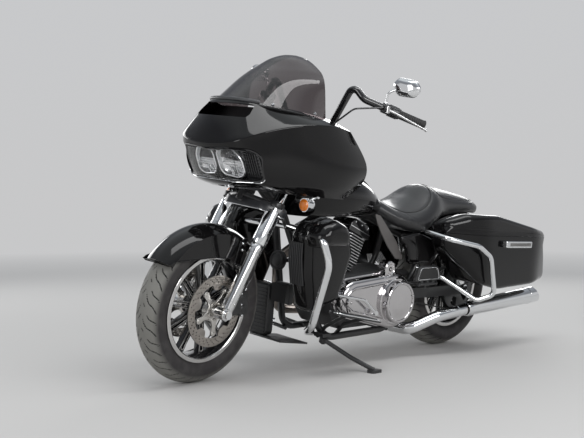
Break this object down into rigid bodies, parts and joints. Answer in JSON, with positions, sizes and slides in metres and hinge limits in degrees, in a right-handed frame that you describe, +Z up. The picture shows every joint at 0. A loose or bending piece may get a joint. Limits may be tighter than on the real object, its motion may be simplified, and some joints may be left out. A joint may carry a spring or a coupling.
{
  "type": "touring motorcycle",
  "caption": "Touring cruiser motorcycle with frame-mounted fairing, finned V engine, cast split-spoke wheels and lidded hard saddlebags, parked on its side stand.",
  "frame": {"origin": "On the floor, under the middle of the machine's bounding box, as it stands parked.", "axes": "+X forward along the floor, +Y to the rider's left, the side it leans to, +Z up."},
  "size_m": [2.4362, 1.0086, 1.4085],
  "materials": {
    "gloss_black": "gloss",
    "satin_black": "satin",
    "engine_black": "satin",
    "chrome": "polished",
    "polished_alloy": "polished",
    "disc_steel": "brushed",
    "tyre": "matte",
    "grip_rubber": "matte",
    "seat_leather": "satin",
    "trim_plastic": "matte",
    "lamp_lens": "gloss",
    "smoked_shield": "gloss"
  },
  "bodies": {
    "chassis": {"air_cleaner": "engine_black", "cam_cover": "chrome", "cylinders": "engine_black", "dash": "trim_plastic", "drive_belt": "grip_rubber", "engine_cases": "engine_black", "engine_guard": "chrome", "fairing": "gloss_black", "foot_controls": "chrome", "frame": "satin_black", "front_signals": "chrome", "front_units": "trim_plastic", "fuel_tank": "gloss_black", "header_pipes": "chrome", "headlamps": "lamp_lens", "lower_fairings": "gloss_black", "mufflers": "chrome", "primary_cover": "chrome", "rear_axle": "polished_alloy", "rear_caliper": "satin_black", "rear_fender": "gloss_black", "rear_lamps": "lamp_lens", "rider_boards": "satin_black", "rocker_covers": "engine_black", "saddlebag_guards": "chrome", "saddlebag_left": "gloss_black", "saddlebag_right": "gloss_black", "seat": "seat_leather", "shocks": "chrome", "side_covers": "gloss_black", "swingarm": "satin_black", "tank_console": "gloss_black", "windshield": "smoked_shield"},
    "fork": {"fork_covers": "chrome", "fork_sliders": "polished_alloy", "fork_yoke": "chrome", "front_axle": "polished_alloy", "front_calipers": "satin_black", "front_fender": "gloss_black", "grips": "grip_rubber", "hand_controls": "chrome", "handlebar": "satin_black", "mirrors": "chrome"},
    "front_wheel": {"front_rim": "satin_black", "front_tyre": "tyre", "front_discs": "disc_steel"},
    "rear_wheel": {"rear_rim": "satin_black", "rear_tyre": "tyre", "rear_disc_and_pulley": "disc_steel"},
    "side_stand_body": {"side_stand": "satin_black"},
    "lid_left_body": {"lid_left": "gloss_black"},
    "lid_right_body": {"lid_right": "gloss_black"},
    "fuel_door_body": {"fuel_door": "chrome"},
    "passenger_board_left_body": {"passenger_board_left": "satin_black"},
    "passenger_board_right_body": {"passenger_board_right": "satin_black"}
  },
  "joints": [
    {"name": "steering", "type": "hinge", "parent": "chassis", "child": "fork", "pos_m": [0.64481, -0.00504, 0.8712], "axis": [-0.4372, 0.1025, 0.8935], "range_deg": [-41, 28.5]},
    {"name": "front_wheel_spin", "type": "hinge", "parent": "fork", "child": "front_wheel", "pos_m": [0.89943, -0.07035, 0.31676], "axis": [-0.0996, 0.9818, -0.1614], "continuous": true},
    {"name": "rear_wheel_spin", "type": "hinge", "parent": "chassis", "child": "rear_wheel", "pos_m": [-0.72566, -0.06869, 0.31857], "axis": [-0.0001, 0.9935, -0.1141], "continuous": true},
    {"name": "stand_swing", "type": "hinge", "parent": "chassis", "child": "side_stand_body", "pos_m": [0.30861, 0.07355, 0.13586], "axis": [0.1404, 0.4473, 0.8833], "range_deg": [0, 60]},
    {"name": "lid_left_hinge", "type": "hinge", "parent": "chassis", "child": "lid_left_body", "pos_m": [-0.65484, 0.35868, 0.5734], "axis": [-0.9995, -0.0038, -0.0322], "range_deg": [0, 78]},
    {"name": "lid_right_hinge", "type": "hinge", "parent": "chassis", "child": "lid_right_body", "pos_m": [-0.65472, -0.42716, 0.66363], "axis": [0.9995, 0.0038, 0.0322], "range_deg": [0, 78]},
    {"name": "fuel_door_hinge", "type": "hinge", "parent": "chassis", "child": "fuel_door_body", "pos_m": [0.27411, 0.00107, 0.92482], "axis": [-0.0001, 0.9935, -0.1141], "range_deg": [0, 85]},
    {"name": "passenger_board_left_fold", "type": "hinge", "parent": "chassis", "child": "passenger_board_left_body", "pos_m": [-0.30811, 0.17086, 0.35295], "axis": [-1, 0, 0.0013], "range_deg": [0, 86]},
    {"name": "passenger_board_right_fold", "type": "hinge", "parent": "chassis", "child": "passenger_board_right_body", "pos_m": [-0.30805, -0.29409, 0.40633], "axis": [1, 0, -0.0013], "range_deg": [0, 86]}
  ]
}
